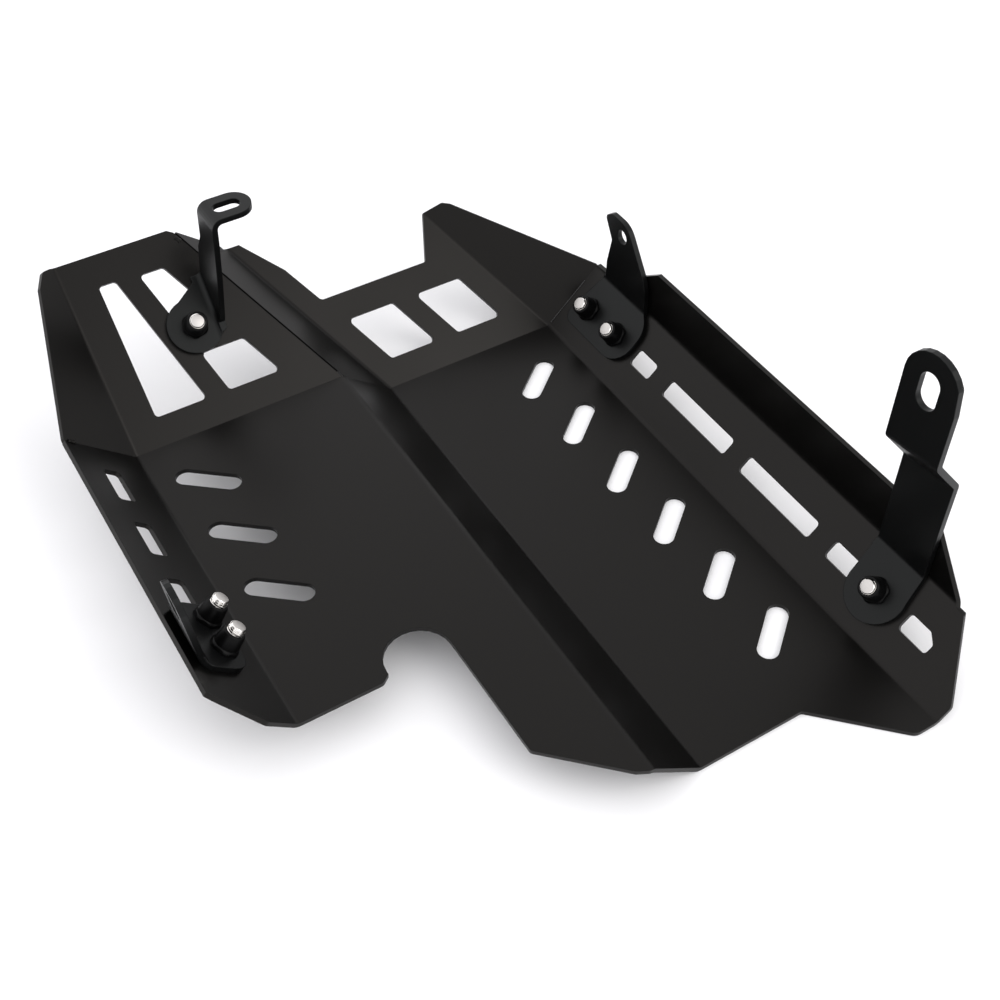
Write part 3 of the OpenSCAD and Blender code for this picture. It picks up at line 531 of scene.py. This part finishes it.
fastener = {
    "threadRadius": 4.0 * mm,
    "pitch": 1.25 * mm,
    "threadDepth": 0.42 * mm,
    "tipBevel": 0.7 * mm,
    "proud": 1.1 * mm,  # how far a bolt stands out of its nut
    "leftProud": 3.5 * mm,  # the same on the left wing
    "sheet": 2.5 * mm,
    "bracket": 3.0 * mm,
    "washer": 1.6 * mm,
    "washerRadius": 8.0 * mm,
    "washerHole": 4.25 * mm,
    "washerEdge": 0.2 * mm,
    "headRadius": 7.0 * mm,
    "headHeight": 4.4 * mm,
    # shares of the head's height and of its radius
    "headDome": [(0.2, 1.0), (0.42, 0.96), (0.66, 0.86), (0.87, 0.72), (1.0, 0.55)],
    "keyRadius": 2.6 * mm,
    "keyDepth": 0.6,  # share of the head's height
    "nutHeight": 9.6 * mm,
    "nutPlay": 0.05 * mm,
    "hexHeight": 2.6 * mm,
    "acrossFlats": 13.0 * mm,
    "cornerRim": 0.55 * mm,  # what the turned corners keep outside the flats
    "collarLow": 6.25 * mm,
    "collarHigh": 5.3 * mm,
}

# Slopes of the panels that carry the fasteners, as in the solids, in degrees
panelSlopes = {"front": 40.0, "rightWing": 43.2, "leftWing": 41.8}
panelTurns = {
    "front": Euler((math.radians(panelSlopes["front"]), 0.0, 0.0)),
    "rightWing": Euler((0.0, math.radians(-panelSlopes["rightWing"]), 0.0)),
    "leftWing": Euler((0.0, math.radians(panelSlopes["leftWing"]), 0.0)),
}
# Panel, and own turn of the nut's hexagon in degrees
sites = {
    "front_left": ("front", 12.0),
    "fin_front": ("rightWing", 4.0),
    "fin_rear": ("rightWing", 20.0),
    "rear_right": ("rightWing", 9.0),
    "left_front": ("leftWing", 17.0),
    "left_rear": ("leftWing", 3.0),
}


def washerCentre(site):
    low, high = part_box("washer_" + site)
    return (Vector(low) + Vector(high)) / 2


def siteAxis(turn):
    return turn.to_matrix() @ Vector((0.0, 0.0, 1.0))


def siteFrame(site):
    # The point where the bolt's axis meets the sheet's upper face, and the turn of that panel
    turn = panelTurns[sites[site][0]]
    rise = fastener["sheet"] + fastener["washer"] / 2
    return washerCentre(site) + siteAxis(turn) * rise, turn


def boltProfile(f, proud):
    # From the tip down over the thread and the shank, round the domed head and into its socket
    r = f["threadRadius"]
    core = r - 0.75 * f["threadDepth"]
    nutTop = f["bracket"] + f["nutHeight"]
    tip = nutTop + proud
    seat = -f["sheet"] - f["washer"]
    head = seat - f["headHeight"]
    keyEnd = head + f["keyDepth"] * f["headHeight"]
    dome = [(share * f["headRadius"], seat - down * f["headHeight"]) for down, share in f["headDome"]]
    return [(0.0, tip), (r - f["tipBevel"] - 0.1 * mm, tip), (r - f["tipBevel"], tip - 0.05 * mm),
            (core, tip - f["tipBevel"]), (core, nutTop - 1.2 * mm), (r, nutTop - 1.4 * mm), (r, seat),
            (f["headRadius"], seat), *dome, (f["keyRadius"], head), (f["keyRadius"], keyEnd), (0.0, keyEnd)]


def makeBolt(site):
    f = fastener
    place, turn = siteFrame(site)
    proud = f["leftProud"] if sites[site][0] == "leftWing" else f["proud"]
    nutTop = f["bracket"] + f["nutHeight"]
    below = 0.9 * mm  # the thread starts inside the nut
    piece = grow("bolt_dressed_" + site, boltTree, {
        "Profile": turnedProfile("bolt_profile_" + site, boltProfile(f, proud)),
        "Thread Radius": f["threadRadius"], "Pitch": f["pitch"], "Thread Depth": f["threadDepth"],
        "Thread Start": nutTop - below, "Thread Length": proud + below - f["tipBevel"] - 0.25 * mm,
        "Tip Height": nutTop + proud, "Place": place, "Turn": Vector(turn), "Material": stainless})
    dress(piece, "stainless", "bolt_" + site)


def chamferProfile(f):
    # The turned blank that takes the hexagon's corners down
    corner = f["acrossFlats"] / 2 + f["cornerRim"]
    h = f["hexHeight"]
    return [(0.0, 0.0), (corner - 0.2 * mm, 0.0), (corner, 0.2 * mm), (corner, 0.45 * h),
            (corner - 0.2 * mm, 0.62 * h), (f["collarLow"] + 0.05 * mm, 0.8 * h),
            (f["collarLow"] - 0.2 * mm, h), (0.0, h)]


def collarProfile(f, hole):
    # The collar narrows, then rolls in over the locking ring
    h, top, low, high = f["hexHeight"], f["nutHeight"], f["collarLow"], f["collarHigh"]
    return [(hole, h - 0.2 * mm), (low, h - 0.2 * mm), (low, h + 0.3 * mm),
            (low - 0.4 * (low - high), h + 0.45 * (top - h)), (high + 0.12 * mm, top - 0.8 * mm),
            (high - 0.05 * mm, top - 0.4 * mm), (high - 0.3 * mm, top - 0.12 * mm), (high - 0.7 * mm, top),
            (hole, top), (hole, h - 0.2 * mm)]


def makeNut(site):
    f = fastener
    place, turn = siteFrame(site)
    own = Euler((0.0, 0.0, math.radians(sites[site][1])))
    whole = (turn.to_matrix() @ own.to_matrix()).to_euler()
    hole = f["threadRadius"] + f["nutPlay"]
    piece = grow("nut_dressed_" + site, nutTree, {
        "Chamfer Profile": turnedProfile("nut_chamfer_" + site, chamferProfile(f)),
        "Collar Profile": turnedProfile("nut_collar_" + site, collarProfile(f, hole)),
        "Across Flats": f["acrossFlats"], "Hex Height": f["hexHeight"], "Hole Radius": hole,
        "Place": place + siteAxis(turn) * f["bracket"], "Turn": Vector(whole), "Material": nutBlack})
    dress(piece, "nut_black", "nut_" + site)


def washerProfile(f):
    half, outer, inner, edge = f["washer"] / 2, f["washerRadius"], f["washerHole"], f["washerEdge"]
    return [(inner, -half), (outer - edge, -half), (outer, -half + edge), (outer, half - edge),
            (outer - edge, half), (inner + edge, half), (inner, half - edge), (inner, -half)]


def makeWasher(site):
    _, turn = siteFrame(site)
    piece = grow("washer_dressed_" + site, washerTree, {
        "Profile": turnedProfile("washer_profile_" + site, washerProfile(fastener)),
        "Place": washerCentre(site), "Turn": Vector(turn), "Material": stainless})
    dress(piece, "stainless", "washer_" + site)


for site in sites:
    makeWasher(site)
    makeBolt(site)
    makeNut(site)
print("fasteners made")


# Seams of the tray, a painted shade filling in the slit, and the corner of its step strip beside the slit

# Where the fold between deck and step meets the front fold, in millimetres
foldCorner = Vector((80.25, -162.5, 0.0))

tray = {
    "skew": 27.5,  # of the right front panel's folds, in degrees
    "deckTop": 24.7,
    "step": (-27.4, 0.0, 22.2),
    "sheet": 2.5,
    # outline of the strip's corner: up the slit, then down the strip
    "corner": [(99.8, 1.0), (116.5, 1.3), (117.1, 2.0), (117.1, 31.0), (113.4, 31.0)],
    "cornerProud": 0.03,
}


def fromFold(point):
    # A point measured in millimetres from the fold corner
    return (Vector(point) - foldCorner) * mm


def slitDirection(t):
    skew, tilt = math.radians(t["skew"]), math.radians(panelSlopes["front"])
    return Vector((-math.sin(skew), math.cos(skew) * math.cos(tilt), math.cos(skew) * math.sin(tilt)))


def makeStripCorner(t):
    start, along, step = Vector((0.0, 0.0, t["deckTop"])), slitDirection(t), Vector(t["step"])
    down, normal = -step.normalized(), along.cross(step).normalized()
    upper = [start + along * a + down * b + normal * t["cornerProud"] for a, b in t["corner"]]
    shape = bmesh.new()
    top = [shape.verts.new(fromFold(point)) for point in upper]
    low = [shape.verts.new(fromFold(point - normal * t["sheet"])) for point in upper]
    shape.faces.new(top)
    shape.faces.new(list(reversed(low)))
    for i in range(len(top)):
        j = (i + 1) % len(top)
        shape.faces.new((top[i], low[i], low[j], top[j]))
    bmesh.ops.recalc_face_normals(shape, faces=shape.faces)
    mesh = bpy.data.meshes.new("strip_corner")
    shape.to_mesh(mesh)
    shape.free()
    mesh.materials.append(plateCoat)
    dress(addObject("strip_corner", mesh), "plate_coat")


# Paths and sizes in millimetres; ripple and lumps are shares of the bead's radius
seams = {
    # painted shade: a near-black tube along the slit that stands for the shade inside it
    "seam_slit": {
        "path": [(-1.85, 3.59, 25.95), (-26.78, 40.28, 56.74), (-52.64, 78.33, 88.66)],
        "radius": 0.62, "pitch": 3.0, "ripple": 0.03, "lumps": 0.1, "seed": 3.0, "coat": slitShade,
    },
    "seam_corner": {
        "path": [(-54.3, 77.2, 88.9), (-53.4, 76.1, 88.0), (-52.5, 75.0, 87.1)],
        "radius": 1.25, "pitch": 2.6, "ripple": 0.06, "lumps": 0.3, "seed": 5.0, "coat": plateCoat,
    },
    "seam_left": {
        "path": [(-148.7, 0.0, 51.9), (-147.2, -0.1, 50.6), (-145.9, -0.1, 49.4)],
        "radius": 1.1, "pitch": 2.8, "ripple": 0.05, "lumps": 0.3, "seed": 8.0, "coat": plateCoat,
    },
    "seam_right": {
        "path": [(134.6, -0.1, 4.1), (145.0, -0.1, 13.9), (157.4, -0.1, 25.5)],
        "radius": 0.3, "pitch": 1.4, "ripple": 0.25, "lumps": 0.5, "seed": 2.0, "coat": weldCoat,
    },
}


def makeSeam(name, seam):
    piece = grow(name, beadTree, {
        "Path": pointRow(name + "_path", [fromFold(point) for point in seam["path"]]),
        "Bead Radius": seam["radius"] * mm, "Ripple Pitch": seam["pitch"] * mm, "Ripple Depth": seam["ripple"],
        "Lumps": seam["lumps"], "Seed": seam["seed"], "Material": seam["coat"]}, smoothAngle=80.0)
    dress(piece, "plate_coat")


makeStripCorner(tray)
for name, seam in seams.items():
    makeSeam(name, seam)
print("seams made")


# Tray and brackets keep their solids and get their coats

coats = {
    "skid_plate": plateCoat,
    "bracket_front_left": bracketCoat,
    "bracket_front_right": bracketCoat,
    "bracket_rear_left": bracketCoat,
    "bracket_rear_right": bracketCoat,
}


def paint(node, material):
    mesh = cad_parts[node].data
    if not mesh.materials:
        mesh.materials.append(material)
    for index in range(len(mesh.materials)):
        mesh.materials[index] = material


for node, coat in coats.items():
    paint(node, coat)
print("solids painted")


# Studio

studio = {
    "skyLevel": 1.24,
    "skySlope": 0.39,  # how much the sky brightens towards skyBright
    "skyLeast": 1.02,
    "skyBright": (-0.75, 0.45, 0.0),
    "skyColor": (0.99, 0.985, 1.0),
    "floorColor": (0.93, 0.93, 0.94),
    "floorRoughness": 0.95,
    "floorSize": 12.0,
    "floorDrop": 0.02 * mm,
    "keyPower": 12.0,
    "keySize": 1.5,
    "keyPlace": (0.75, -1.25, 1.4),
    "keyColor": (1.0, 0.985, 0.96),
}

# The view of the photograph
photoView = {
    "place": (-0.30002, -0.36177, 0.53258),
    "azimuth": -31.349,
    "elevation": 47.192,
    "lens": 50.04,
}


def floorMaterial(look):
    material, tree, shader = newMaterial("studio_floor")
    shader.inputs["Base Color"].default_value = (*look["floorColor"], 1.0)
    shader.inputs["Roughness"].default_value = look["floorRoughness"]
    shader.inputs["Specular IOR Level"].default_value = 0.0
    return material


def addFloor(look):
    half = look["floorSize"] / 2
    mesh = bpy.data.meshes.new("studio_floor")
    mesh.from_pydata([(-half, -half, 0), (half, -half, 0), (half, half, 0), (-half, half, 0)], [], [(0, 1, 2, 3)])
    mesh.materials.append(floorMaterial(look))
    floor = addObject("studio_floor", mesh)
    floor.location.z = -look["floorDrop"]


def addSky(look):
    world = bpy.data.worlds.new("studio_sky")
    world.use_nodes = True
    tree = world.node_tree
    sky = tree.nodes["Background"]
    sky.inputs["Color"].default_value = (*look["skyColor"], 1.0)
    direction = addNode(tree, "ShaderNodeTexCoord").outputs["Generated"]
    side = addNode(tree, "ShaderNodeVectorMath", {0: direction, 1: look["skyBright"]}, operation="DOT_PRODUCT")
    slope = mathNode(tree, "MULTIPLY", side.outputs["Value"], look["skySlope"])
    level = mathNode(tree, "ADD", slope, look["skyLevel"])
    tree.links.new(mathNode(tree, "MAXIMUM", level, look["skyLeast"]), sky.inputs["Strength"])
    bpy.context.scene.world = world


def addKey(look):
    light = bpy.data.lights.new("key_light", "AREA")
    light.shape = "DISK"
    light.size = look["keySize"]
    light.energy = look["keyPower"]
    light.color = look["keyColor"]
    lamp = addObject("key_light", light)
    lamp.location = look["keyPlace"]
    lamp.rotation_euler = (-Vector(look["keyPlace"])).to_track_quat("-Z", "Y").to_euler()


def addCamera(view):
    data = bpy.data.cameras.new("photo_camera")
    data.sensor_width = 36.0
    data.lens = view["lens"]
    data.clip_start = 0.01
    camera = addObject("photo_camera", data)
    camera.location = view["place"]
    camera.rotation_euler = (math.radians(90.0 - view["elevation"]), 0.0, math.radians(view["azimuth"]))
    bpy.context.scene.camera = camera


addFloor(studio)
addSky(studio)
addKey(studio)
addCamera(photoView)
bpy.context.scene.view_settings.view_transform = "Standard"
print("studio made")
